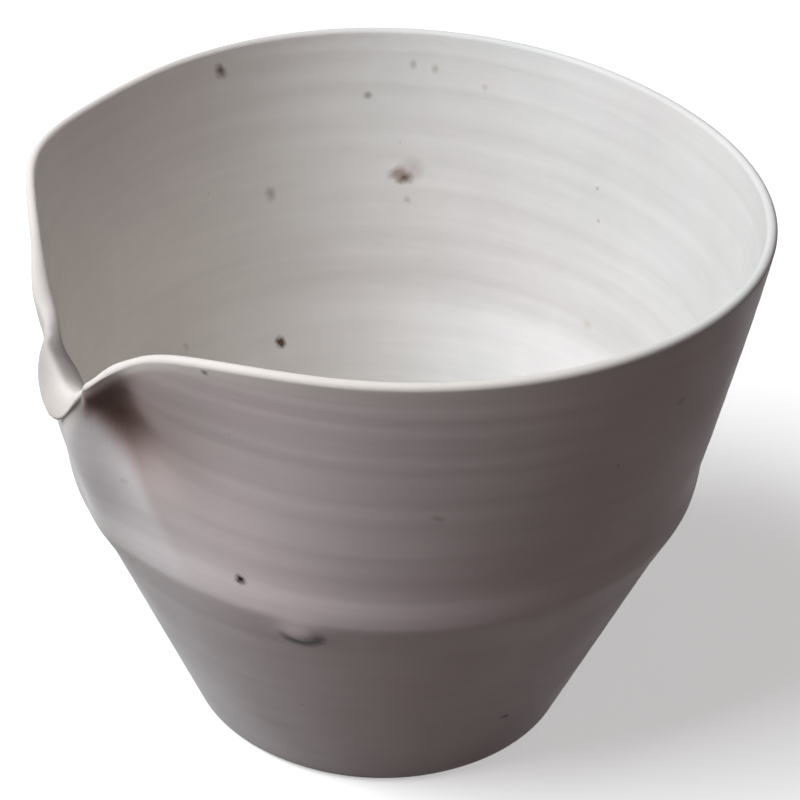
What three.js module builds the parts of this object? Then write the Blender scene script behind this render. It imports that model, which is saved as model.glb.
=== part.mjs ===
// A wheel-thrown porcelain tea pitcher with a spout pinched and folded out of its rim.
// It is one fired piece of clay: foot, wall, lip and spout run into each other with no joint.
// Millimetres and degrees, +Z up. The origin is the centre of the foot, on the throwing axis.
// An angle is counted round the axis from the spout, which points along -X: positive towards -Y.
import * as THREE from "three";

// Thrown form: a steep cone up to a soft ridge, and a more upright wall from there to the lip.
const RIM_RADIUS = 51;
const RIM_HEIGHT = 83.3;
const RIM_LEAN = 1.8; // the rim is lower by this much on the spout's side
const RIDGE_RADIUS = 45.3;
const RIDGE_HEIGHT = 41;
const RIDGE_SOFTNESS = 5.5; // height over which the cone turns into the upper wall, up and down
const FOOT_RADIUS = 29;
const FOOT_EDGE = 1.1; // rounding round the foot

// Clay thickness: heavier at the foot, thin at the lip.
const WALL_AT_FOOT = 3.6;
const LIP_THICKNESS = 1.5;
const FLOOR_THICKNESS = 4.2;
const BOWL_RADIUS = 9; // round between the inside floor and the wall

// How the rim leaves the round: oval, egg-shaped, swayed to one side and twisted.
const OVAL = 2.1;
const EGG = 0.77;
const SWAY = 0.38;
const TWIST = 0.33;
const OVAL_START = 30; // height from which it does so

// Two places where the rim flares out beside the spout.
const NEAR_FLARE = { size: 0.5, angle: 29, width: 12, height: 14 };
const FAR_FLARE = { size: 2.4, angle: -41, width: 16, height: 34 };

// The dip of the rim down to the spout, and a small lift beside it.
const NOTCH_DEPTH = 14.6;
const NOTCH_ANGLE = 20.2;
const NOTCH_POWER = 2.4;
const LIFT = { size: 0.5, angle: 14, width: 4.5 };

// A small sag of the rim beside it, over the flank.
const SAG = { size: 0.78, angle: 30, width: 13 };

// The wall round the spout: full below it, swollen beside the far throat, with a bed under the tongue.
const BULGE = { size: 2.1, angle: 9.5, spread: 1.5, start: 34, full: 60, widest: 64, end: 70 };
const BULGE_NEAR = { width: 14, blend: 6 }; // on the near side it is one gentle swell
const SWELL = { size: 1.1, angle: -16.5, width: 6, height: 66.5, above: 6, below: 9 };
const THROAT_PULL = { size: 0.35, angle: -17, width: 7 };
const BED = { size: 2, angle: 6.5, width: 5.5, start: 28, full: 66 };

// The thumb's hollow under the near throat.
const HOLLOW = { size: 3.1, angle: 15, left: 5, right: 8, shear: 0.36 };
const HOLLOW_AT = { height: 63, above: 10, below: 6.5 };

// The flank beside it, squeezed nearly flat, and less so within reach of the rim.
const FLANK = { size: 1.4, angle: 30, width: 16, start: 30, full: 62 };
const FLANK_AT_RIM = { share: 0.4, reach: 20 };

// The tongue: part of one rolled surface, whose edge is drawn by how far it drops at each angle.
const TONGUE_DROP = 7.4;
const NEAR_THROAT = { angle: 10.2, power: 1 };
const FAR_THROAT = { angle: 7.3, power: 0.85 };
const FOLD_SOFTNESS = 5;
const CREST_RADIUS = 49.3;
const CREST_HEIGHT = 67.4;
const ROLL_OUT = 1.8;
const ROLL_DOWN = 6.3;
const TONGUE_EDGE = 0.5;
const PRESSED_EDGE = 0.28; // on the near side the edge is pressed onto the wall
const PRESSED_START = 1;
const PRESSED_FULL = 6;
const CREST_INSIDE = 3.4;
const CREST_INSIDE_DROP = 3;
const CREST_INSIDE_POWER = 1.35;
const SLOPED_FULL = -1;
const SLOPED_END = 7;
const DIP = { size: 2.2, angle: 4, width: 5 };
const THROAT_LIP = { size: 0.75, angle: 14, width: 4.5 };
const UNDERCUT = 0.4;

// Facets: closer together round the spout and towards the lip.
const AROUND = 108;
const CROWDING = 0.62;
const OUTER_ROWS = 18;
const LIP_ROWS = 14;
const INNER_ROWS = 14;

const radians = THREE.MathUtils.degToRad;
const mix = THREE.MathUtils.lerp;
const clamp = THREE.MathUtils.clamp;
const bell = (x) => Math.exp(-x * x);
const smooth = (from, to, x) => THREE.MathUtils.smoothstep(x, from, to);

/** Outer radius of the wall as thrown, before the spout is made. */
function thrownRadius(z) {
  const cone = FOOT_RADIUS + ((RIDGE_RADIUS - FOOT_RADIUS) * z) / RIDGE_HEIGHT;
  const slope = (RIM_RADIUS - RIDGE_RADIUS) / (RIM_HEIGHT - RIDGE_HEIGHT);
  const upper = RIDGE_RADIUS + slope * (z - RIDGE_HEIGHT);
  return mix(cone, upper, smooth(RIDGE_HEIGHT - RIDGE_SOFTNESS, RIDGE_HEIGHT + RIDGE_SOFTNESS, z));
}

/** Clay thickness at a height. */
function thickness(z) {
  return mix(WALL_AT_FOOT, LIP_THICKNESS, Math.min(z / RIDGE_HEIGHT, 1));
}

/** Height of the lip's top at an angle, the folded tongue left out. */
function lipHeight(angle) {
  const plain = RIM_HEIGHT - RIM_LEAN * Math.cos(radians(angle));
  const lift = LIFT.size * bell((angle - LIFT.angle) / LIFT.width);
  const sag = SAG.size * bell((angle - SAG.angle) / SAG.width);
  const notch = NOTCH_DEPTH * Math.exp(-Math.pow(Math.abs(angle) / NOTCH_ANGLE, NOTCH_POWER));
  return plain + lift - sag - notch;
}

/** Depth of the thumb's hollow, steeper towards the spout, easing out under the lip. */
function hollow(angle, z) {
  const up = z - HOLLOW_AT.height;
  const turned = angle - HOLLOW.angle + HOLLOW.shear * up;
  const across = turned / (turned < 0 ? HOLLOW.left : HOLLOW.right);
  const along = up / (up > 0 ? HOLLOW_AT.above : HOLLOW_AT.below);
  const underLip = clamp((lipHeight(angle) - 0.8 - z) / 6, 0, 1);
  return HOLLOW.size * bell(across) * bell(along) * (1 - Math.pow(1 - underLip, 3));
}

/** Outer radius of the finished wall. The shares scale what is pressed out and in near the spout. */
function outerRadius(angle, z, outShare = 1, inShare = 1) {
  const turn = radians(angle);
  const top = lipHeight(angle);
  const oval = EGG * Math.cos(3 * turn) - OVAL * Math.cos(2 * turn);
  const sway = SWAY * Math.sin(turn) + TWIST * Math.sin(3 * turn);
  let radius = thrownRadius(z) + (oval + sway) * smooth(OVAL_START, RIM_HEIGHT, z);
  for (const flare of [NEAR_FLARE, FAR_FLARE]) {
    radius += flare.size * bell((angle - flare.angle) / flare.width) * smooth(top - flare.height, top, z);
  }
  const wide = BULGE.angle + BULGE.spread * Math.max(BULGE.widest - z, 0);
  const ends = smooth(BULGE.start, BULGE.full, z) * (1 - smooth(BULGE.end - 4, BULGE.end, z));
  const farBulge = Math.exp(-Math.pow(Math.abs(angle) / wide, 3));
  const nearBulge = bell(angle / BULGE_NEAR.width);
  radius += BULGE.size * mix(farBulge, nearBulge, smooth(0, BULGE_NEAR.blend, angle)) * ends;
  const tall = z > SWELL.height ? SWELL.above : SWELL.below;
  const swell = SWELL.size * bell((angle - SWELL.angle) / SWELL.width) * bell((z - SWELL.height) / tall);
  const bed = BED.size * bell((angle - BED.angle) / BED.width) * smooth(BED.start, BED.full, z);
  radius += outShare * (swell + bed);
  radius += THROAT_PULL.size * bell((angle - THROAT_PULL.angle) / THROAT_PULL.width) * smooth(60, 70, z);
  const squeezed = FLANK.size * bell((angle - FLANK.angle) / FLANK.width);
  const easing = mix(1, FLANK_AT_RIM.share, smooth(top - FLANK_AT_RIM.reach, top, z));
  radius -= squeezed * easing * smooth(FLANK.start, FLANK.full, z);
  return radius - inShare * hollow(angle, z);
}

/** A path's points, spaced evenly along it. */
function spread(points, count) {
  const path = new THREE.CurvePath();
  for (let i = 1; i < points.length; i++) {
    path.add(new THREE.LineCurve(points[i - 1], points[i]));
  }
  return path.getSpacedPoints(count);
}

/** The lip's section from the outer face over the top to the inner face, as radius and height. */
function lipPath(angle) {
  const throat = angle > 0 ? NEAR_THROAT : FAR_THROAT;
  const side = Math.abs(angle);
  const fullDrop = TONGUE_DROP * Math.pow(Math.max(0, 1 - Math.pow(side / throat.angle, 2)), throat.power);
  const channel = Math.exp(-Math.pow(side / throat.angle, 4));
  const dip = Math.min(DIP.size * bell((angle - DIP.angle) / DIP.width), fullDrop);
  const drop = fullDrop - dip;
  const fold = smooth(0, FOLD_SOFTNESS, fullDrop);
  const pressed = smooth(PRESSED_START, PRESSED_FULL, angle);
  const thicker = THROAT_LIP.size * bell((side - THROAT_LIP.angle) / THROAT_LIP.width);
  const half = (LIP_THICKNESS / 2) * (1 + thicker);
  const edge = mix(half, mix(TONGUE_EDGE, PRESSED_EDGE, pressed), fold);
  const plain = outerRadius(angle, lipHeight(angle) - half, 1, 0) - LIP_THICKNESS / 2;
  const crest = mix(plain, CREST_RADIUS, channel);
  const top = mix(lipHeight(angle), CREST_HEIGHT, channel) - dip;
  const roll = (turn) => {
    const down = ROLL_DOWN * (1 - Math.cos(turn));
    return new THREE.Vector2(crest + ROLL_OUT * Math.sin(turn), top - down);
  };

  const end = Math.acos(clamp(1 - drop / ROLL_DOWN, -1, 1));
  const outward = new THREE.Vector2(Math.sin(end) / ROLL_OUT, Math.cos(end) / ROLL_DOWN).normalize();
  const downward = new THREE.Vector2(outward.y, -outward.x);
  const centre = roll(end).addScaledVector(outward, -edge);
  const arc = [];
  const furthest = radians(mix(90, mix(150, 92, pressed), fold));
  for (let i = 0; i <= 12; i++) {
    const turn = furthest * (1 - i / 12);
    const point = centre.clone().addScaledVector(outward, edge * Math.cos(turn));
    arc.push(point.addScaledVector(downward, edge * Math.sin(turn)));
  }
  const path = [];
  if (fold > 1e-6) {
    const under = centre.y + UNDERCUT;
    const corner = new THREE.Vector2(Math.min(outerRadius(angle, under), arc[0].x - 0.15 * fold), under);
    corner.lerp(new THREE.Vector2(arc[0].x - 0.05, arc[0].y - 0.3), pressed);
    path.push(arc[0].clone().lerp(corner, fold));
  }
  path.push(...arc);
  if (drop > 1e-9) {
    for (let i = 1; i <= 20; i++) {
      path.push(roll(end * (1 - i / 20)));
    }
  }
  const inside = mix(half, CREST_INSIDE, channel);
  const insideDrop = mix(half, CREST_INSIDE_DROP, channel);
  const sloped = channel * (1 - smooth(SLOPED_FULL, SLOPED_END, angle));
  for (let i = 1; i <= 12; i++) {
    const share = i / 12;
    const fall = mix(1 - Math.sqrt(1 - share * share), Math.pow(share, CREST_INSIDE_POWER), sloped);
    path.push(new THREE.Vector2(crest - inside * share, top - insideDrop * fall));
  }
  return path;
}

/** Heights of a wall's rows, closer together towards the top. */
function heights(from, to, count) {
  const list = [];
  for (let i = 0; i <= count; i++) {
    list.push(mix(from, to, 1 - Math.pow(1 - i / count, 1.2)));
  }
  return list;
}

/** The whole section at an angle, from the underside's centre round to the inside floor's centre. */
function section(angle) {
  const lip = spread(lipPath(angle), LIP_ROWS);
  const start = lip[0];
  const finish = lip[LIP_ROWS];

  const rows = [new THREE.Vector2(0, 0), new THREE.Vector2(FOOT_RADIUS - FOOT_EDGE, 0)];
  for (const turn of [30, 60]) {
    const across = FOOT_EDGE * (1 - Math.sin(radians(turn)));
    rows.push(new THREE.Vector2(FOOT_RADIUS - across, FOOT_EDGE * (1 - Math.cos(radians(turn)))));
  }

  const outerGap = start.x - outerRadius(angle, start.y);
  for (const z of heights(FOOT_EDGE, start.y, OUTER_ROWS).slice(0, -1)) {
    rows.push(new THREE.Vector2(outerRadius(angle, z) + outerGap * smooth(start.y - 4, start.y, z), z));
  }
  rows.push(...lip);

  const bowlTop = FLOOR_THICKNESS + BOWL_RADIUS;
  const innerRadius = (z) => outerRadius(angle, z, 0.5) - thickness(z);
  const innerGap = finish.x - innerRadius(finish.y);
  for (const z of heights(bowlTop, finish.y, INNER_ROWS).reverse().slice(1)) {
    rows.push(new THREE.Vector2(innerRadius(z) + innerGap * smooth(finish.y - 12, finish.y, z), z));
  }

  const bowlRim = rows[rows.length - 1].x;
  const reach = 1.5 * BOWL_RADIUS;
  for (const turn of [66, 42, 20]) {
    const across = reach * (1 - Math.sin(radians(turn)));
    rows.push(new THREE.Vector2(bowlRim - across, bowlTop - BOWL_RADIUS * Math.cos(radians(turn))));
  }
  rows.push(new THREE.Vector2(bowlRim - reach, FLOOR_THICKNESS));
  rows.push(new THREE.Vector2(0, FLOOR_THICKNESS));
  return rows;
}

/** The pitcher's body: a lathe form whose section changes with the angle. */
function pitcherBody() {
  const body = new THREE.LatheGeometry(section(180), AROUND);
  const place = body.getAttribute("position");
  for (let i = 0; i <= AROUND; i++) {
    const even = ((i % AROUND) * 2 * Math.PI) / AROUND;
    const turn = even - CROWDING * Math.sin(even);
    const angle = THREE.MathUtils.radToDeg(turn > Math.PI ? turn - 2 * Math.PI : turn);
    const rows = section(angle);
    rows.forEach((row, j) => {
      place.setXYZ(i * rows.length + j, -row.x * Math.cos(turn), -row.x * Math.sin(turn), row.y);
    });
  }
  body.computeVertexNormals();
  return body;
}

const porcelain = new THREE.MeshStandardMaterial({ color: 0xd9d4cf, roughness: 0.46, metalness: 0 });

const body = new THREE.Mesh(pitcherBody(), porcelain);
body.name = "pitcher_body";

const teaPitcher = new THREE.Group();
teaPitcher.add(body);

export default teaPitcher;
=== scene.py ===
"""Looks of a wheel-thrown porcelain tea pitcher with a folded spout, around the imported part."""
import bpy
import math
import numpy as np
from collections import namedtuple
from mathutils import Matrix, Vector
from types import SimpleNamespace as Sizes


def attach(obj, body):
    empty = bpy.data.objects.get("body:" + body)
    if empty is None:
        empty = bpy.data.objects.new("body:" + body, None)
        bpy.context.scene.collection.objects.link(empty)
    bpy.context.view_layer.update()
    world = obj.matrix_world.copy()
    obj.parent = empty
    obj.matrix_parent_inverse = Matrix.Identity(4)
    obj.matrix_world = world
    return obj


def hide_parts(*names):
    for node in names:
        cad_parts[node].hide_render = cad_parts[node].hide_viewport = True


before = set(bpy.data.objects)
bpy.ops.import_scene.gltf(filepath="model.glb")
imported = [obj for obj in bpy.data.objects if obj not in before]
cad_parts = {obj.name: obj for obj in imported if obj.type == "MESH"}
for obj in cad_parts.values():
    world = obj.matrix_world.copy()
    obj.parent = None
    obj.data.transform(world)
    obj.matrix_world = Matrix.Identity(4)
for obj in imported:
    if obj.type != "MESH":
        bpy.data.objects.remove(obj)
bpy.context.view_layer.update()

MM = 0.001

# Driving dimensions of the pitcher, in millimetres and degrees, the same as the solid's.
# An angle is counted round the axis from the spout, which points along -X. It is positive on the side
# that the camera sees.
# A swelling has a size, the angle of its middle, and a half width, at which about a third of it is left.
RIM_RADIUS = 51.0
RIM_HEIGHT = 83.3
RIM_LEAN = 1.8
RIDGE_RADIUS = 45.3
RIDGE_HEIGHT = 41.0
RIDGE_SOFTNESS = 5.5
FOOT_RADIUS = 29.0
FOOT_EDGE = 1.1
WALL_AT_FOOT = 3.6
LIP_THICKNESS = 1.5
FLOOR_THICKNESS = 4.2
BOWL_RADIUS = 9.0
BOWL_REACH = 1.5  # the bowl's quarter round is stretched inwards by this much

# How the rim leaves the round: oval, egg-shaped, swayed to one side and twisted.
OVAL = 2.1
EGG = 0.77
SWAY = 0.38
TWIST = 0.33
OVAL_START = 30.0

# Two places where the rim flares out beside the spout.
NEAR_FLARE = Sizes(size=0.5, angle=29.0, width=12.0, height=14.0)
FAR_FLARE = Sizes(size=2.4, angle=-41.0, width=16.0, height=34.0)

# The dip of the rim down to the spout, and beside it a small lift and a small sag.
NOTCH = Sizes(depth=14.6, angle=20.2, power=2.4)
LIFT = Sizes(size=0.5, angle=14.0, width=4.5)
SAG = Sizes(size=0.78, angle=30.0, width=13.0)

# The wall round the spout: full below it, swollen beside the far throat, with a bed under the tongue.
BULGE = Sizes(size=2.1, angle=9.5, spread=1.5, start=34.0, full=60.0, widest=64.0, fading=66.0, end=70.0)
BULGE_NEAR = Sizes(width=14.0, blend=6.0)
SWELL = Sizes(size=1.1, angle=-16.5, width=6.0, height=66.5, above=6.0, below=9.0)
THROAT_PULL = Sizes(size=0.35, angle=-17.0, width=7.0, start=60.0, full=70.0)
BED = Sizes(size=2.0, angle=6.5, width=5.5, start=28.0, full=66.0)

# The thumb's hollow under the near throat, and the flank beside it, squeezed nearly flat.
HOLLOW = Sizes(depth=3.1, angle=15.0, left=5.0, right=8.0, height=63.0, above=10.0, below=6.5, shear=0.36)
HOLLOW_UNDER_LIP = Sizes(gap=0.8, reach=6.0)
FLANK = Sizes(size=1.4, angle=30.0, width=16.0, start=30.0, full=62.0, at_rim=0.4, rim_reach=20.0)

# The tongue: part of one rolled surface, whose edge is drawn by how far it drops at each angle.
TONGUE_DROP = 7.4
NEAR_THROAT = Sizes(angle=10.2, power=1.0)
FAR_THROAT = Sizes(angle=7.3, power=0.85)
FOLD_SOFTNESS = 5.0
CREST_RADIUS = 49.3
CREST_HEIGHT = 67.4
ROLL_OUT = 1.8
ROLL_DOWN = 6.3
TONGUE_EDGE = 0.5
CREST_INSIDE = 3.4
CREST_INSIDE_DROP = 3.0
CREST_INSIDE_POWER = 1.35
DIP = Sizes(size=2.2, angle=4.0, width=5.0)
THROAT_LIP = Sizes(size=0.75, angle=14.0, width=4.5)
UNDERCUT = 0.4
UNDERCUT_INSET = 0.15
PRESSED_EDGE = 0.28
PRESSED_SEAM = np.array([0.05, 0.3])

# Angles between which the tongue's edge comes down onto the wall, and the channel's slope fades out.
PRESSED = 1.0, 6.0
SLOPED = -1.0, 7.0

# How far the lip's round goes, in degrees: plain, folded over, and pressed onto the wall.
PLAIN_ROUND = 90
FOLDED_ROUND = 150
PRESSED_ROUND = 92

# Throwing lines: half depth, spacing, hand of the spiral and phase of each wave. A slow drift up and down
# makes their spacing uneven. They are calmer near the spout, and fade out at the foot and the lip.
OUTSIDE_WAVES = [(0.014, 4.6, 1, 0.0), (0.007, 2.9, 1, 1.3), (0.003, 1.7, -1, 0.4)]
OUTSIDE_DRIFT = Sizes(size=0.9, length=6.3, phase=0.6, around=0.35, times=2, around_phase=0.8)
INSIDE_WAVES = [(0.03, 5.4, 1, 0.9), (0.012, 3.1, 1, 0.0), (0.004, 1.9, -1, 0.0)]
INSIDE_DRIFT = Sizes(size=1.2, length=8.1, phase=2.1, around=0.5, times=1, around_phase=2.4)
CALM_SPOUT = Sizes(share=0.7, angle=16)
CALM_FOOT_OUTSIDE = 0, 6
CALM_LIP_OUTSIDE = 0, 3.5
CALM_FOOT_INSIDE = 8, 16
CALM_LIP_INSIDE = 0, 4
FLOOR_SPIRAL = Sizes(size=0.16, spacing=4.2, middle=4, edge=0.8)

# The soft band that the turning left just above the ridge, the ditch over it and a fine groove in it.
BAND = Sizes(size=0.18, height=42.0, below=1.7, above=3.0)
DITCH = Sizes(size=0.10, up=6.5, width=3.2)
GROOVE = Sizes(size=0.05, up=0.5, wander=0.3, width=0.35)

# How far below the lip a wall starts to lean over to meet the lip's own section, and what share
# of the swell and the bed beside the spout shows on the inner face.
OUTER_EASE = 4
INNER_EASE = 12
INSIDE_SHARE = 0.5

# Painted shade in the near throat's hollow, tinted brown: where it is deepest and how far it reaches,
# the straight edge that ends it on the spout's side, and where it sets in below the lip.
HOLLOW_SHADE = Sizes(depth=2.1, angle=13.0, height=64.5, side=7.0, above=10.0, below=6.5, mm_per_degree=0.82)
HOLLOW_SHADE_EDGE = Sizes(angle=8.7, height=65.3, slant=56.5, outer=-1.3, inner=1.5)
HOLLOW_SHADE_UNDER_LIP = 0.4, 1.8

# Facets of the fine mesh, closer together round the spout and towards the lip.
AROUND = 280
CROWDING = 0.62
ROW_CROWDING = 1.2
OUTER_ROWS = 130
INNER_ROWS = 110
LIP_ROWS = 36
LIP_ROUND_POINTS = 24
LIP_ROLL_POINTS = 40
LIP_INSIDE_POINTS = 20
FLOOR_ROWS = 25
BOWL_ROWS = 19
FOOT_FLAT_ROWS = 10
FOOT_ROUND_ROWS = 5

# A size below this one counts as none.
NOTHING = 1e-9


def smooth(start, end, x):
    """Smooth step from 0 at start to 1 at end."""
    t = np.clip((x - start) / (end - start), 0, 1)
    return t * t * (3 - 2 * t)


def mix(a, b, share):
    return a + (b - a) * share


def bell(x):
    return np.exp(-x * x)


def swelling(sizes, angle):
    return sizes.size * bell((angle - sizes.angle) / sizes.width)


def thrown_radius(z):
    """Outer radius of the wall as thrown: a cone, a soft ridge and a steeper upper wall."""
    cone = FOOT_RADIUS + (RIDGE_RADIUS - FOOT_RADIUS) * z / RIDGE_HEIGHT
    slope = (RIM_RADIUS - RIDGE_RADIUS) / (RIM_HEIGHT - RIDGE_HEIGHT)
    upper = RIDGE_RADIUS + slope * (z - RIDGE_HEIGHT)
    turn = smooth(RIDGE_HEIGHT - RIDGE_SOFTNESS, RIDGE_HEIGHT + RIDGE_SOFTNESS, z)
    return mix(cone, upper, turn)


def thickness(z):
    return mix(WALL_AT_FOOT, LIP_THICKNESS, np.minimum(z / RIDGE_HEIGHT, 1))


def lip_height(angle):
    """Top of the lip, the folded tongue left out."""
    plain = RIM_HEIGHT - RIM_LEAN * math.cos(math.radians(angle))
    lift = float(swelling(LIFT, angle))
    sag = float(swelling(SAG, angle))
    return plain + lift - sag - NOTCH.depth * math.exp(-(abs(angle) / NOTCH.angle) ** NOTCH.power)


def hollow(angle, z):
    """Depth of the thumb's hollow, steeper towards the spout, easing out under the lip."""
    across = angle - HOLLOW.angle + HOLLOW.shear * (z - HOLLOW.height)
    across = across / np.where(across < 0, HOLLOW.left, HOLLOW.right)
    along = (z - HOLLOW.height) / np.where(z > HOLLOW.height, HOLLOW.above, HOLLOW.below)
    under_lip = np.clip((lip_height(angle) - HOLLOW_UNDER_LIP.gap - z) / HOLLOW_UNDER_LIP.reach, 0, 1)
    return HOLLOW.depth * bell(across) * bell(along) * (1 - (1 - under_lip) ** 3)


def bulge(angle, z):
    """The fullness below the spout: wider lower down, and one gentle swell on the near side."""
    wide = BULGE.angle + BULGE.spread * np.maximum(BULGE.widest - z, 0)
    far_side = np.exp(-(abs(angle) / wide) ** 3)
    share = float(smooth(0, BULGE_NEAR.blend, angle))
    across = mix(far_side, bell(angle / BULGE_NEAR.width), share)
    ends = smooth(BULGE.start, BULGE.full, z) * (1 - smooth(BULGE.fading, BULGE.end, z))
    return BULGE.size * across * ends


def outer_radius(angle, z, local=1.0, pinch=1.0):
    """Outer radius of the finished wall; local and pinch scale what is pressed into it near the spout."""
    turn = math.radians(angle)
    oval = EGG * math.cos(3 * turn) - OVAL * math.cos(2 * turn)
    sway = SWAY * math.sin(turn) + TWIST * math.sin(3 * turn)
    radius = thrown_radius(z) + (oval + sway) * smooth(OVAL_START, RIM_HEIGHT, z)
    top = lip_height(angle)
    for flare in (NEAR_FLARE, FAR_FLARE):
        radius = radius + swelling(flare, angle) * smooth(top - flare.height, top, z)
    radius = radius + bulge(angle, z)
    tall = np.where(z > SWELL.height, SWELL.above, SWELL.below)
    swell = swelling(SWELL, angle) * bell((z - SWELL.height) / tall)
    bed = swelling(BED, angle) * smooth(BED.start, BED.full, z)
    pull = swelling(THROAT_PULL, angle) * smooth(THROAT_PULL.start, THROAT_PULL.full, z)
    flank = swelling(FLANK, angle) * smooth(FLANK.start, FLANK.full, z)
    flank = flank * mix(1, FLANK.at_rim, smooth(top - FLANK.rim_reach, top, z))
    return radius + local * (swell + bed) - pinch * hollow(angle, z) + pull - flank


def spread(points, count):
    """A path's points, spaced evenly along it."""
    points = np.array(points)
    along = np.r_[0, np.cumsum(np.linalg.norm(np.diff(points, axis=0), axis=1))]
    share = np.linspace(0, along[-1], count + 1)
    return np.stack([np.interp(share, along, points[:, 0]), np.interp(share, along, points[:, 1])], 1)


def lip_path(angle):
    """The lip's section from the outer face over the top to the inner face, as radius and height."""
    throat = NEAR_THROAT if angle > 0 else FAR_THROAT
    side = abs(angle)
    drop = TONGUE_DROP * max(0.0, 1 - (side / throat.angle) ** 2) ** throat.power
    fold = float(smooth(0, FOLD_SOFTNESS, drop))
    channel = math.exp(-(side / throat.angle) ** 4)
    half = LIP_THICKNESS / 2 * (1 + swelling(THROAT_LIP, side))
    top = lip_height(angle)
    crest = mix(float(outer_radius(angle, top - half, pinch=0)) - LIP_THICKNESS / 2, CREST_RADIUS, channel)
    dip = min(float(swelling(DIP, angle)), drop)
    top = mix(top, CREST_HEIGHT, channel) - dip
    drop -= dip
    pressed = float(smooth(*PRESSED, angle))
    edge = mix(half, mix(TONGUE_EDGE, PRESSED_EDGE, pressed), fold)
    end = math.acos(max(-1.0, 1 - drop / ROLL_DOWN))

    def roll(turn):
        return np.array([crest + ROLL_OUT * math.sin(turn), top - ROLL_DOWN * (1 - math.cos(turn))])

    outward = np.array([math.sin(end) / ROLL_OUT, math.cos(end) / ROLL_DOWN])
    outward /= np.linalg.norm(outward)
    downward = np.array([outward[1], -outward[0]])
    centre = roll(end) - edge * outward
    furthest = math.radians(mix(PLAIN_ROUND, mix(FOLDED_ROUND, PRESSED_ROUND, pressed), fold))
    arc = []
    for turn in np.linspace(furthest, 0, LIP_ROUND_POINTS):
        arc.append(centre + edge * (np.cos(turn) * outward + np.sin(turn) * downward))
    path = []
    if fold > NOTHING:
        under = centre[1] + UNDERCUT
        wall = float(outer_radius(angle, under))
        corner = np.array([min(wall, arc[0][0] - UNDERCUT_INSET * fold), under])
        corner = mix(corner, arc[0] - PRESSED_SEAM, pressed)
        path.append(mix(arc[0], corner, fold))
    path += arc
    if drop > NOTHING:
        path += [roll(turn) for turn in np.linspace(end, 0, LIP_ROLL_POINTS)[1:]]
    inside = mix(half, CREST_INSIDE, channel)
    inside_drop = mix(half, CREST_INSIDE_DROP, channel)
    sloped = channel * (1 - float(smooth(*SLOPED, angle)))
    for share in np.linspace(0, 1, LIP_INSIDE_POINTS)[1:]:
        round_off = mix(1 - math.sqrt(1 - share * share), share ** CREST_INSIDE_POWER, sloped)
        path.append(np.array([crest - inside * share, top - inside_drop * round_off]))
    return path


def throwing_lines(waves, drift, angle, z):
    """A low spiral of uneven rings, calmer near the spout."""
    turn = math.radians(angle)
    warp = z + drift.size * np.sin(z / drift.length + drift.phase)
    warp = warp + drift.around * math.sin(drift.times * turn + drift.around_phase)
    lines = 0
    for depth, spacing, hand, phase in waves:
        lines = lines + depth * np.sin(2 * math.pi * warp / spacing + hand * turn + phase)
    return lines * (1 - CALM_SPOUT.share * bell(angle / CALM_SPOUT.angle))


def outside_relief(angle, z):
    """Throwing lines on the outer face, and the band above the ridge."""
    lines = throwing_lines(OUTSIDE_WAVES, OUTSIDE_DRIFT, angle, z)
    up = z - BAND.height
    band = BAND.size * bell(up / np.where(up < 0, BAND.below, BAND.above))
    ditch = DITCH.size * bell((up - DITCH.up) / DITCH.width)
    wander = GROOVE.wander * math.sin(math.radians(angle))
    groove = GROOVE.size * bell((up - GROOVE.up - wander) / GROOVE.width)
    calm = smooth(*CALM_FOOT_OUTSIDE, z) * smooth(*CALM_LIP_OUTSIDE, lip_height(angle) - z)
    return (lines + band - ditch - groove) * calm


def inside_relief(angle, z):
    """Throwing lines on the inner face, a little wider and deeper."""
    calm = smooth(*CALM_FOOT_INSIDE, z) * smooth(*CALM_LIP_INSIDE, lip_height(angle) - z)
    return throwing_lines(INSIDE_WAVES, INSIDE_DRIFT, angle, z) * calm


def row_heights(low, high, rows):
    """Heights of a wall's rows, closer together towards the top."""
    return mix(low, high, 1 - (1 - np.linspace(0, 1, rows + 1)) ** ROW_CROWDING)


def foot_rows():
    """The flat underside and the round of its edge."""
    flat = FOOT_RADIUS - FOOT_EDGE
    rows = [(flat * share, 0) for share in np.linspace(0, 1, FOOT_FLAT_ROWS)]
    for turn in np.linspace(0, math.pi / 2, FOOT_ROUND_ROWS + 2)[1:-1]:
        rows.append((flat + FOOT_EDGE * math.sin(turn), FOOT_EDGE * (1 - math.cos(turn))))
    return rows


def bowl_rows(angle, radius, top):
    """From the inner wall down the bowl's round and over the floor, with its faint spiral, to the centre."""
    rows = []
    for turn in np.linspace(math.pi / 2, 0, BOWL_ROWS + 1)[1:]:
        across = BOWL_REACH * BOWL_RADIUS * (1 - math.sin(turn))
        rows.append((radius - across, top - BOWL_RADIUS * math.cos(turn)))
    edge = rows[-1][0]
    for share in np.linspace(1, 0, FLOOR_ROWS + 1)[1:]:
        radius = edge * share
        spiral = math.sin(2 * math.pi * radius / FLOOR_SPIRAL.spacing + math.radians(angle))
        calm = smooth(0, FLOOR_SPIRAL.middle, radius) * (1 - smooth(FLOOR_SPIRAL.edge, 1, share))
        rows.append((radius, FLOOR_THICKNESS + FLOOR_SPIRAL.size * spiral * calm))
    return rows


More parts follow.
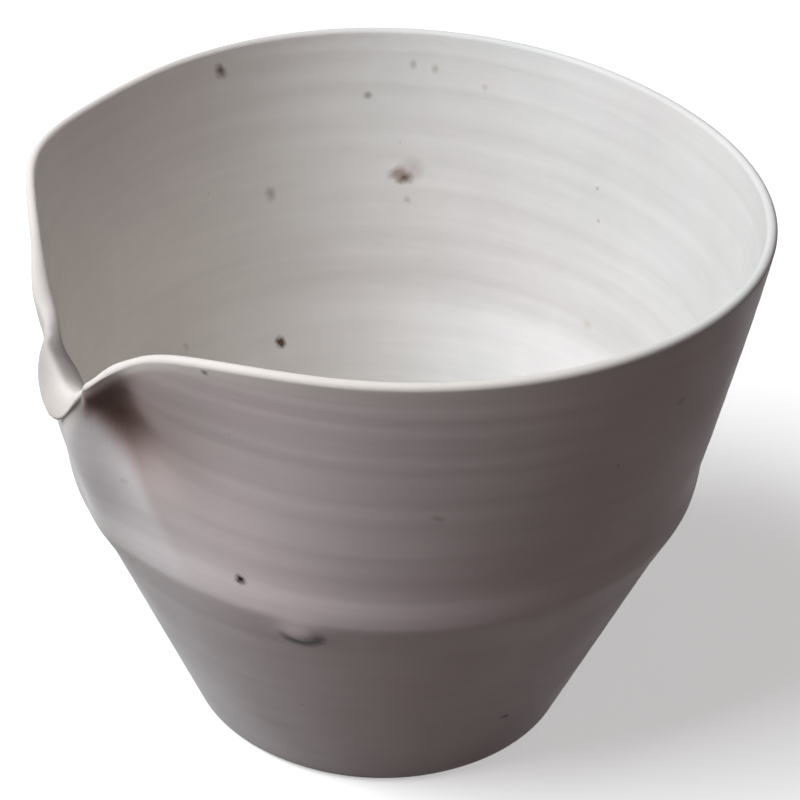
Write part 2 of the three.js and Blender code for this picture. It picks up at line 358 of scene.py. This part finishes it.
def section(angle):
    """The whole section at an angle, from the underside's centre round to the floor's centre."""
    lip = spread(lip_path(angle), LIP_ROWS)

    lip_radius, lip_z = lip[0]
    outer_z = row_heights(FOOT_EDGE, lip_z, OUTER_ROWS)
    outer = outer_radius(angle, outer_z)
    outer += (lip_radius - outer[-1]) * smooth(lip_z - OUTER_EASE, lip_z, outer_z)
    outer += outside_relief(angle, outer_z)

    lip_radius, lip_z = lip[-1]
    bowl_top = FLOOR_THICKNESS + BOWL_RADIUS
    inner_z = row_heights(bowl_top, lip_z, INNER_ROWS)
    inner = outer_radius(angle, inner_z, local=INSIDE_SHARE) - thickness(inner_z)
    inner += (lip_radius - inner[-1]) * smooth(lip_z - INNER_EASE, lip_z, inner_z)
    inner += inside_relief(angle, inner_z)

    outside = np.stack([outer, outer_z], 1)[:-1]
    inside = np.stack([inner, inner_z], 1)[::-1][1:]
    bowl = bowl_rows(angle, inner[0], bowl_top)
    return np.array(foot_rows() + list(outside) + list(lip) + list(inside) + bowl)


def below_lip(grid):
    """How far each point of the outer face lies below the lip's edge; 0 on the lip and inside."""
    last = FOOT_FLAT_ROWS + FOOT_ROUND_ROWS + OUTER_ROWS
    below = grid[:, last:last + 1, 2] - grid[:, :, 2]
    below[:, last:] = 0
    return np.maximum(below, 0)


def painted_hollow_shade(grid, below):
    """How dark the painted shade in the near throat's hollow is: 0 to 1, with a slanted left edge."""
    angle = np.degrees(np.arctan2(-grid[..., 1], -grid[..., 0]))
    across = (angle - HOLLOW_SHADE.angle) * HOLLOW_SHADE.mm_per_degree
    up = grid[..., 2] - HOLLOW_SHADE.height
    up_share = up / np.where(up > 0, HOLLOW_SHADE.above, HOLLOW_SHADE.below)
    depth = HOLLOW_SHADE.depth * np.exp(-np.hypot(across / HOLLOW_SHADE.side, up_share))
    slant = math.radians(HOLLOW_SHADE_EDGE.slant)
    inward = (angle - HOLLOW_SHADE_EDGE.angle) * HOLLOW_SHADE.mm_per_degree * math.sin(slant)
    inward = inward + (grid[..., 2] - HOLLOW_SHADE_EDGE.height) * math.cos(slant)
    inside_edge = smooth(HOLLOW_SHADE_EDGE.outer, HOLLOW_SHADE_EDGE.inner, inward)
    return (1 - np.exp(-depth)) * inside_edge * smooth(*HOLLOW_SHADE_UNDER_LIP, below)


def place(angle, z, outside=True, inset=0.0):
    """The point on the outer or inner face at an angle and a height, in millimetres."""
    radius = float(outer_radius(angle, z)) - (inset if outside else float(thickness(z)))
    turn = math.radians(angle)
    return Vector((-radius * math.cos(turn), -radius * math.sin(turn), z))


# Blisters: centre, half width, half heights above and below it, and rise; one rises inwards.
Blister = namedtuple("Blister", "centre wide above below rise")
BLISTERS = [
    Blister(place(48.2, 38.6), 2.9, 2.2, 1.3, 0.6),
    Blister(place(-120.5, 61.0, outside=False), 1.6, 0.9, 0.8, -0.35),
]


def raise_blisters(grid):
    """Push the points round each blister's centre outwards or inwards."""
    for blister in BLISTERS:
        away = grid - np.array(blister.centre)
        tall = np.where(away[..., 2] > 0, blister.above, blister.below)
        across = np.hypot(away[..., 0], away[..., 1])
        lift = blister.rise * np.exp(-(across / blister.wide) ** 2 - (away[..., 2] / tall) ** 2)
        outward = grid[..., :2] / (np.linalg.norm(grid[..., :2], axis=-1, keepdims=True) + NOTHING)
        grid[..., :2] += outward * lift[..., None]


def on_points(field):
    """A grid's values in the order of the mesh's points: both centres, then each section's rows."""
    return [field[0, 0], field[0, -1]] + list(field[:, 1:-1].reshape(-1, *field.shape[2:]))


def pitcher():
    """The fine mesh of the whole pitcher: sections round the axis, closed at both centres."""
    even = np.arange(AROUND) * 2 * math.pi / AROUND
    grid = []
    for angle in even - CROWDING * np.sin(even):
        rows = section((math.degrees(angle) + 180) % 360 - 180)
        grid.append(np.stack([-rows[:, 0] * np.cos(angle), -rows[:, 0] * np.sin(angle), rows[:, 1]], 1))
    grid = np.array(grid)
    below = below_lip(grid)
    raise_blisters(grid)

    count = grid.shape[1] - 2
    faces = []
    for i in range(AROUND):
        here = 2 + i * count
        there = 2 + (i + 1) % AROUND * count
        faces.append((0, there, here))
        faces.append((1, here + count - 1, there + count - 1))
        for k in range(count - 1):
            faces.append((here + k, there + k, there + k + 1, here + k + 1))
    mesh = bpy.data.meshes.new("pitcher")
    mesh.from_pydata([tuple(point * MM) for point in on_points(grid)], [], faces)
    mesh.polygons.foreach_set("use_smooth", [True] * len(mesh.polygons))
    # The second attribute carries the painted shade of the hollow under the near throat.
    for name, field in (("below_lip", below), ("painted_hollow_shade", painted_hollow_shade(grid, below))):
        mesh.attributes.new(name, "FLOAT", "POINT").data.foreach_set("value", on_points(field))
    obj = bpy.data.objects.new("pitcher", mesh)
    bpy.context.scene.collection.objects.link(obj)
    return obj


# Colours of the glaze, linear.
CREAM = (0.745, 0.748, 0.735)
# The warm cream and the mauve below are painted shade tints, for the shaded side inside and outside.
SHADE_WARM_CREAM = (0.785, 0.735, 0.685)
PALE_GREY = (0.745, 0.735, 0.73)
SHADE_MAUVE = (0.80, 0.705, 0.715)
WARM_CLOUD = (0.76, 0.735, 0.70)
PINK_CLOUD = (0.75, 0.695, 0.695)
BARE_CLAY = (0.60, 0.55, 0.48)
FRECKLE = (0.28, 0.21, 0.16)
# Colour of the painted shade on the spout.
SPOUT_SHADE_GREY = (0.24, 0.20, 0.205)
BROWN = (0.09, 0.05, 0.03)
GREY = (0.20, 0.17, 0.14)
BLACK = (0.02, 0.012, 0.012)
# Colour of the painted shadow under the ridge blister.
CRESCENT_SHADOW_COLOUR = (0.032, 0.024, 0.024)

# Where one look changes into the next, in millimetres: along X inside and along Y outside for the painted
# shade tints, below the lip's edge for the outer glaze and the outer face's own marks, and up from the foot.
WARM_SHADE_INSIDE = 30, -20
MAUVE_SHADE_OUTSIDE = -3, -30
OUTER_GLAZE = 0, 3
OUTER_FACE = 0.1, 0.5
RUBBED_FOOT = 0.9, 0.2

# Noise: scale per millimetre, detail and roughness. A stretch scales the place that it is read at.
NOISE_MIDDLE = (0.5, 0.5, 0.5)
CLOUDS = 0.045, 3.0, 0.55
TINTS = 0.028, 2.0, 0.5
LINES = 1.0, 4.0, 0.6
LINES_STRETCH = (0.03, 0.03, 0.62)
WOBBLE = 0.9, 2.0
SHEEN = 0.11, 3.0
GRAIN = 1.6, 4.0, 0.6
SCRAPE = 1.0, 5.0, 0.62
SCRAPE_STRETCH = (0.05, 0.05, 1.5)

# From which value of the noise to which, and what the two ends become when they aren't 0 and 1.
WARM_RANGE = 0.42, 0.62
PINK_RANGE = 0.45, 0.66
CLOUD_RANGE = 0.35, 0.68, 0.955, 1.02
LINE_RANGE = 0.3, 0.7, 0.965, 1.02
SHEEN_RANGE = 0.3, 0.7, 0.40, 0.54

# How much of a tint shows where it is strongest, what the foot and the specks change in the roughness,
# and bumps in millimetres.
WARM_SHARE = 0.35
PINK_SHARE = 0.4
RUBBED_SHARE = 0.7
RUBBED_ROUGHER = 0.25
SPECK_SMOOTHER = 0.12
SPECULAR = 0.04
GRAIN_BUMP = Sizes(strength=0.25, height=0.05)
SCRAPE_BUMP = Sizes(strength=0.25, height=0.08)

# Pinhead freckles: cells per millimetre, the dot in a cell, and the few cells that have one.
FRECKLE_CELLS = 0.16
FRECKLE_DOT = 0.065, 0.03
FRECKLE_CHOSEN = 0.78, 0.86
FRECKLE_SHARE = 0.4

# How ragged a large speck's edge is, in millimetres, the share of that on a small one,
# the size above which a speck is a large one, and the least half depth of any spot into the wall.
RAGGED = 1.1
GENTLE = 0.4
RAGGED_FROM = 1.4
SPOT_DEPTH = 1.6

# How strongly the painted shade in the hollow darkens, and how fast red, green and blue fade as it gets
# deeper, which browns it.
HOLLOW_SHADE_STRENGTH = 0.96
HOLLOW_SHADE_FADE = 1.0, 1.21, 1.29

# Iron specks: sizes in millimetres, angles in degrees.
Speck = namedtuple("Speck", "angle z outside wide tall tilt softness colour strength")
SPECKS = [
    Speck(-86.5, 79.8, False, 1.3, 1.9, -25, 0.8, (0.13, 0.07, 0.06), 0.85),  # under the far rim
    Speck(-113.8, 73.6, False, 1.2, 1.0, 0, 0.6, GREY, 0.6),  # back wall, upper
    Speck(-121.8, 78.9, False, 0.9, 1.2, 10, 0.8, (0.30, 0.23, 0.21), 0.5),  # back wall, faint
    Speck(-125.8, 78.6, False, 0.9, 1.1, 0, 0.8, (0.35, 0.28, 0.18), 0.45),  # back wall, ochre
    Speck(-135.5, 77.0, False, 0.8, 0.8, 0, 0.8, (0.5, 0.32, 0.3), 0.4),  # back wall, pink
    Speck(-122.6, 62.2, False, 2.6, 2.6, 20, 0.9, (0.42, 0.33, 0.32), 0.5),  # blister's halo
    Speck(-119.6, 61.5, False, 2.2, 1.2, -35, 0.9, (0.22, 0.11, 0.10), 0.75),  # blister's tail
    Speck(-120.9, 60.6, False, 2.2, 1.6, -20, 0.8, (0.15, 0.085, 0.05), 0.95),  # blister's heart
    Speck(-121.8, 57.0, False, 0.9, 0.8, 0, 0.8, GREY, 0.35),  # below the blister
    Speck(-94.6, 58.9, False, 1.3, 1.6, 0, 0.8, GREY, 0.5),  # inside left
    Speck(-93.5, 34.9, False, 1.5, 1.8, 0, 0.4, BROWN, 0.97),  # inside low
    Speck(-70.4, 38.8, False, 0.8, 1.0, 0, 0.8, GREY, 0.3),  # inside far left
    Speck(-165.1, 44.1, False, 1.2, 1.2, 0, 0.9, (0.45, 0.38, 0.22), 0.3),  # inside right
    Speck(35.3, 79.7, True, 0.9, 0.9, 0, 0.5, (0.12, 0.10, 0.09), 0.7),  # under the front rim
    Speck(37.4, 46.1, True, 1.5, 1.2, -25, 0.6, BLACK, 1.0),  # above the ridge
    Speck(93.3, 13.3, True, 1.5, 0.9, -25, 0.5, BLACK, 0.9),  # low right
    Speck(69, 61.6, True, 1.3, 0.6, -20, 0.9, (0.22, 0.17, 0.15), 0.4),  # front, faint
    Speck(14.4, 54.4, True, 0.9, 0.7, 0, 0.9, (0.4, 0.3, 0.28), 0.3),  # under the spout
    Speck(105.9, 72.5, True, 1.0, 0.9, 0, 0.9, GREY, 0.4),  # right, faint
]

# Painted shade in the spout, greyish, at a depth under the outer face: a patch and its darker inner edge.
Tint = namedtuple("Tint", "angle z inset wide tall tilt softness strength")
SPOUT_SHADES = [
    Tint(-4.5, 66.0, 1.4, 6.6, 6.6, 0, 0.9, 0.6),
    Tint(-4.2, 64.9, 3.4, 7.5, 1.8, -23, 0.8, 0.6),
]

# Painted shadow under the blister on the ridge, a dark crescent: a spot less a second one that lies a little
# higher.
Spot = namedtuple("Spot", "angle z wide tall tilt softness")
CRESCENT_SPOT = Spot(48.0, 38.4, 5.9, 4.7, 14, 0.25)
CRESCENT_CUT = Spot(47.4, 39.8, 5.7, 3.9, 14, 0.4)
CRESCENT_SHARE = 0.95


class Nodes:
    """Short calls for making and joining a material's nodes."""

    def __init__(self, owner):
        self.tree = owner.node_tree

    def join(self, value, socket):
        """Link a socket's value, or set a plain number or colour."""
        if isinstance(value, bpy.types.NodeSocket):
            self.tree.links.new(value, socket)
        elif socket.type == "RGBA":
            socket.default_value = (*value, 1)
        else:
            socket.default_value = value

    def add(self, kind, settings=None, **inputs):
        """A new node; an input is named, or i and its number."""
        node = self.tree.nodes.new(kind)
        for name, value in (settings or {}).items():
            setattr(node, name, value)
        for name, value in inputs.items():
            numbered = name[0] == "i" and name[1:].isdigit()
            self.join(value, node.inputs[int(name[1:]) if numbered else name.replace("_", " ")])
        return node

    def maths(self, operation, a, b=0.0, clamp=False):
        return self.add("ShaderNodeMath", {"operation": operation, "use_clamp": clamp}, i0=a, i1=b).outputs[0]

    def times(self, a, b):
        return self.maths("MULTIPLY", a, b)

    def opposite(self, share):
        return self.maths("SUBTRACT", 1.0, share)

    def vector(self, operation, a, **inputs):
        return self.add("ShaderNodeVectorMath", {"operation": operation}, i0=a, **inputs).outputs[0]

    def stretched(self, vector, scale):
        node = self.add("ShaderNodeMapping", Vector=vector)
        node.inputs["Scale"].default_value = scale
        return node.outputs[0]

    def noise(self, vector, scale, detail=2.0, roughness=0.5):
        return self.add("ShaderNodeTexNoise", Vector=vector, Scale=scale, Detail=detail, Roughness=roughness)

    def blend(self, share, a, b, kind="MIX"):
        node = self.add("ShaderNodeMix", {"data_type": "RGBA", "blend_type": kind}, i0=share, i6=a, i7=b)
        return node.outputs[2]

    def ranged(self, value, low, high, to_low=0.0, to_high=1.0):
        """The value with low to high turned into to_low to to_high, and held within them."""
        limits = {"From_Min": low, "From_Max": high, "To_Min": to_low, "To_Max": to_high}
        return self.add("ShaderNodeMapRange", Value=value, **limits).outputs[0]

    def grey(self, value):
        return self.add("ShaderNodeCombineColor", i0=value, i1=value, i2=value).outputs[0]

    def red_and_green(self, colour):
        return self.add("ShaderNodeSeparateColor", i0=colour).outputs[0:2]

    def attribute(self, name):
        return self.add("ShaderNodeAttribute", {"attribute_name": name}).outputs["Fac"]


def spot_mask(nodes, place_mm, centre, spot):
    """1 inside an elliptical spot that lies on the wall, fading to 0 round it."""
    turn = math.atan2(centre.y, centre.x)
    lean = Matrix.Rotation(turn, 4, "Z") @ Matrix.Rotation(math.radians(spot.tilt), 4, "X")
    mapping = nodes.add("ShaderNodeMapping", {"vector_type": "TEXTURE"}, Vector=place_mm)
    mapping.inputs["Location"].default_value = centre
    mapping.inputs["Rotation"].default_value = lean.to_euler()
    mapping.inputs["Scale"].default_value = (max(SPOT_DEPTH, spot.tall / 2), spot.wide / 2, spot.tall / 2)
    length = nodes.add("ShaderNodeVectorMath", {"operation": "LENGTH"}, i0=mapping.outputs[0])
    return nodes.ranged(length.outputs["Value"], 1 + spot.softness, 1 - spot.softness)


def ground_colour(nodes, place_mm, below):
    """Cream inside and grey outside, with painted shade tints, warmer towards -X inside and mauve towards -Y
    outside, and with faint clouds and throwing lines.
    """
    along, across, _ = nodes.add("ShaderNodeSeparateXYZ", i0=place_mm).outputs
    # Painted shade tints: warmer towards -X inside, mauve towards -Y outside.
    inner = nodes.blend(nodes.ranged(along, *WARM_SHADE_INSIDE), CREAM, SHADE_WARM_CREAM)
    outer = nodes.blend(nodes.ranged(across, *MAUVE_SHADE_OUTSIDE), PALE_GREY, SHADE_MAUVE)
    colour = nodes.blend(nodes.ranged(below, *OUTER_GLAZE), inner, outer)
    warm, pink = nodes.red_and_green(nodes.noise(place_mm, *TINTS).outputs["Color"])
    colour = nodes.blend(nodes.times(nodes.ranged(warm, *WARM_RANGE), WARM_SHARE), colour, WARM_CLOUD)
    colour = nodes.blend(nodes.times(nodes.ranged(pink, *PINK_RANGE), PINK_SHARE), colour, PINK_CLOUD)
    clouds = nodes.ranged(nodes.noise(place_mm, *CLOUDS).outputs[0], *CLOUD_RANGE)
    lines = nodes.noise(nodes.stretched(place_mm, LINES_STRETCH), *LINES).outputs[0]
    shade = nodes.times(clouds, nodes.ranged(lines, *LINE_RANGE))
    return nodes.blend(1.0, colour, nodes.grey(shade), "MULTIPLY")


def add_freckles(nodes, place_mm, colour):
    """Pinhead freckles, sparse and faint."""
    cells = nodes.add("ShaderNodeTexVoronoi", Vector=place_mm, Scale=FRECKLE_CELLS)
    dot = nodes.ranged(cells.outputs["Distance"], *FRECKLE_DOT)
    chosen = nodes.ranged(nodes.red_and_green(cells.outputs["Color"])[0], *FRECKLE_CHOSEN)
    return nodes.blend(nodes.times(nodes.times(dot, chosen), FRECKLE_SHARE), colour, FRECKLE)


def add_specks(nodes, ragged, gently, on_outside, colour):
    """Iron specks, each on its own face of the wall. Gives the colour, and where a speck is."""
    on_inside = nodes.opposite(on_outside)
    marks = 0.0
    for speck in SPECKS:
        where = ragged if max(speck.wide, speck.tall) > RAGGED_FROM else gently
        mask = spot_mask(nodes, where, place(speck.angle, speck.z, speck.outside), speck)
        face = on_outside if speck.outside else on_inside
        mask = nodes.times(mask, nodes.times(face, speck.strength))
        colour = nodes.blend(mask, colour, speck.colour)
        marks = nodes.maths("MAXIMUM", mask, marks)
    return colour, marks


def add_hollow_shade(nodes, colour):
    """Painted shade, brownish, in the hollow under the near throat."""
    clear = nodes.opposite(nodes.times(nodes.attribute("painted_hollow_shade"), HOLLOW_SHADE_STRENGTH))
    red, green, blue = (nodes.maths("POWER", clear, power) for power in HOLLOW_SHADE_FADE)
    brown = nodes.add("ShaderNodeCombineColor", i0=red, i1=green, i2=blue).outputs[0]
    return nodes.blend(1.0, colour, brown, "MULTIPLY")


def add_spout_shades(nodes, place_mm, colour):
    """Painted greyish shade on the far side of the spout, darker along its inner edge."""
    for shade_patch in SPOUT_SHADES:
        mask = spot_mask(nodes, place_mm, place(shade_patch.angle, shade_patch.z, inset=shade_patch.inset), shade_patch)
        colour = nodes.blend(nodes.times(mask, shade_patch.strength), colour, SPOUT_SHADE_GREY)
    return colour


def add_crescent_shadow(nodes, gently, on_outside, colour):
    """The dark crescent painted as the shadow under the blister on the ridge."""
    spot, cut = (
        spot_mask(nodes, gently, place(form.angle, form.z), form) for form in (CRESCENT_SPOT, CRESCENT_CUT)
    )
    crescent = nodes.maths("MULTIPLY", spot, nodes.opposite(cut), clamp=True)
    crescent = nodes.times(crescent, nodes.times(on_outside, CRESCENT_SHARE))
    return nodes.blend(crescent, colour, CRESCENT_SHADOW_COLOUR)


def bumps(nodes, place_mm):
    """Fine grain and the scrape marks of turning."""
    grain = nodes.noise(place_mm, *GRAIN).outputs[0]
    scrape = nodes.noise(nodes.stretched(place_mm, SCRAPE_STRETCH), *SCRAPE).outputs[0]
    normal = None
    for height, bump in ((grain, GRAIN_BUMP), (scrape, SCRAPE_BUMP)):
        node = nodes.add("ShaderNodeBump", Strength=bump.strength, Distance=bump.height * MM, Height=height)
        if normal:
            nodes.join(normal, node.inputs["Normal"])
        normal = node.outputs[0]
    return normal


def porcelain():
    """Satin off-white porcelain with iron specks, painted shade and shadows, and fine grain."""
    material = bpy.data.materials.new("porcelain")
    material.use_nodes = True
    nodes = Nodes(material)
    shader = material.node_tree.nodes["Principled BSDF"]
    place_m = nodes.add("ShaderNodeTexCoord").outputs["Object"]
    place_mm = nodes.vector("SCALE", place_m, Scale=1 / MM)
    below = nodes.attribute("below_lip")
    on_outside = nodes.ranged(below, *OUTER_FACE)

    wobble = nodes.noise(place_mm, *WOBBLE).outputs["Color"]
    wobble = nodes.vector("SUBTRACT", wobble, i1=NOISE_MIDDLE)
    wobble = nodes.vector("SCALE", wobble, Scale=RAGGED)
    ragged = nodes.vector("ADD", place_mm, i1=wobble)
    gently = nodes.vector("ADD", place_mm, i1=nodes.vector("SCALE", wobble, Scale=GENTLE))

    # The foot's edge has rubbed off its glaze.
    height = nodes.add("ShaderNodeSeparateXYZ", i0=place_mm).outputs[2]
    rubbed = nodes.ranged(height, *RUBBED_FOOT)

    colour = ground_colour(nodes, place_mm, below)
    colour = nodes.blend(nodes.times(rubbed, RUBBED_SHARE), colour, BARE_CLAY)
    colour = add_freckles(nodes, place_mm, colour)
    colour, marks = add_specks(nodes, ragged, gently, on_outside, colour)
    # Painted shade in the hollow under the near throat.
    colour = add_hollow_shade(nodes, colour)
    # Painted shade on the far side of the spout, darker along its inner edge.
    colour = add_spout_shades(nodes, place_mm, colour)
    # Painted shadow under the blister on the ridge.
    colour = add_crescent_shadow(nodes, gently, on_outside, colour)
    nodes.join(colour, shader.inputs["Base Color"])

    rough = nodes.ranged(nodes.noise(place_mm, *SHEEN).outputs[0], *SHEEN_RANGE)
    rough = nodes.maths("ADD", rough, nodes.times(rubbed, RUBBED_ROUGHER))
    rough = nodes.maths("SUBTRACT", rough, nodes.times(marks, SPECK_SMOOTHER))
    nodes.join(rough, shader.inputs["Roughness"])
    nodes.join(bumps(nodes, place_mm), shader.inputs["Normal"])
    shader.inputs["Specular IOR Level"].default_value = SPECULAR
    return material


# The photograph's view, down onto the pitcher and from beside its spout, in degrees and metres.
AZIMUTH = -29
ELEVATION = 33.8
ROLL = 1.9
DISTANCE = 0.3006
TARGET = Vector((0, 0, 0.0392))
CLIP_START = 0.01

# The frame in pixels: its side, the focal length, and how far right and up of its middle the target shows.
FRAME_PX = 800
FOCAL_PX = 2030
TARGET_PX = Vector((-15.2, -49.8))
SENSOR_MM = 36


def camera():
    """The camera at the photograph's view."""
    azimuth, elevation, roll = (math.radians(angle) for angle in (AZIMUTH, ELEVATION, ROLL))
    level = math.cos(elevation)
    back = Vector((math.sin(azimuth) * level, -math.cos(azimuth) * level, math.sin(elevation)))
    right = Vector((math.cos(azimuth), math.sin(azimuth), 0))
    up = back.cross(right)
    rolled_right = math.cos(roll) * right + math.sin(roll) * up
    rolled_up = math.cos(roll) * up - math.sin(roll) * right
    data = bpy.data.cameras.new("camera")
    data.sensor_width = SENSOR_MM
    data.lens = FOCAL_PX / FRAME_PX * SENSOR_MM
    data.shift_x = -TARGET_PX.x / FRAME_PX
    data.shift_y = -TARGET_PX.y / FRAME_PX
    data.clip_start = CLIP_START
    obj = bpy.data.objects.new("camera", data)
    facing = Matrix((rolled_right, rolled_up, back)).transposed().to_4x4()
    obj.matrix_world = Matrix.Translation(TARGET + back * DISTANCE) @ facing
    bpy.context.scene.collection.objects.link(obj)
    bpy.context.scene.camera = obj


# Lights: name, place and size in metres, power in watts and colour.
LIGHTS = [
    ("window", (-0.61, 0.10, 0.85), 0.7, 13.4, (0.945, 0.975, 1.0)),
    ("fill", (-0.45, -0.9, 0.75), 0.7, 0.5, (1.0, 0.72, 0.74)),
]
LIGHT_AIM = Vector((0, 0, 0.05))

# The floor and the world: how they look, and the little light that they throw onto the pitcher.
FLOOR_HALF = 3
FLOOR_SEEN = (0.9, 0.9, 0.9)
FLOOR_BOUNCE = (0.05, 0.04, 0.038)
FLOOR_ROUGHNESS = 0.9
FLOOR_GLOW = 0.45
WHITE = (1, 1, 1)
WORLD_TINT = (1, 0.78, 0.76)
WORLD_LIGHT = 0.06


def area_light(name, location, size, power, colour):
    """A square lamp that faces the pitcher."""
    data = bpy.data.lights.new(name, "AREA")
    data.size = size
    data.energy = power
    data.color = colour
    obj = bpy.data.objects.new(name, data)
    obj.location = location
    obj.rotation_euler = (LIGHT_AIM - Vector(location)).to_track_quat("-Z", "Y").to_euler()
    bpy.context.scene.collection.objects.link(obj)


def seen_ray(nodes):
    """1 for rays from the camera, from gloss and through glass, 0 for the light that bounces about."""
    path = nodes.add("ShaderNodeLightPath")
    direct = nodes.maths("MAXIMUM", path.outputs["Is Camera Ray"], path.outputs["Is Glossy Ray"])
    return nodes.maths("MAXIMUM", direct, path.outputs["Is Transmission Ray"])


def pale_floor():
    """A pale floor that keeps the pitcher's shadow."""
    half = FLOOR_HALF
    corners = [(-half, -half, 0), (half, -half, 0), (half, half, 0), (-half, half, 0)]
    mesh = bpy.data.meshes.new("floor")
    mesh.from_pydata(corners, [], [(0, 1, 2, 3)])
    floor = bpy.data.objects.new("floor", mesh)
    bpy.context.scene.collection.objects.link(floor)
    material = bpy.data.materials.new("pale_floor")
    material.use_nodes = True
    nodes = Nodes(material)
    seen = seen_ray(nodes)
    shader = material.node_tree.nodes["Principled BSDF"]
    nodes.join(nodes.blend(seen, FLOOR_BOUNCE, FLOOR_SEEN), shader.inputs["Base Color"])
    nodes.join(nodes.times(seen, FLOOR_GLOW), shader.inputs["Emission Strength"])
    shader.inputs["Emission Color"].default_value = (*WHITE, 1)
    shader.inputs["Roughness"].default_value = FLOOR_ROUGHNESS
    mesh.materials.append(material)


def white_world():
    """A white background that throws only a little warm light."""
    world = bpy.data.worlds.new("world")
    world.use_nodes = True
    nodes = Nodes(world)
    background = world.node_tree.nodes["Background"]
    seen = seen_ray(nodes)
    nodes.join(nodes.blend(seen, WORLD_TINT, WHITE), background.inputs["Color"])
    nodes.join(nodes.ranged(seen, 0, 1, WORLD_LIGHT, 1.0), background.inputs["Strength"])
    bpy.context.scene.world = world


camera()
piece = pitcher()
piece.data.materials.append(porcelain())
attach(piece, "root")
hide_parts("pitcher_body")
pale_floor()
white_world()
for light in LIGHTS:
    area_light(*light)

bpy.context.scene.view_settings.view_transform = "Standard"
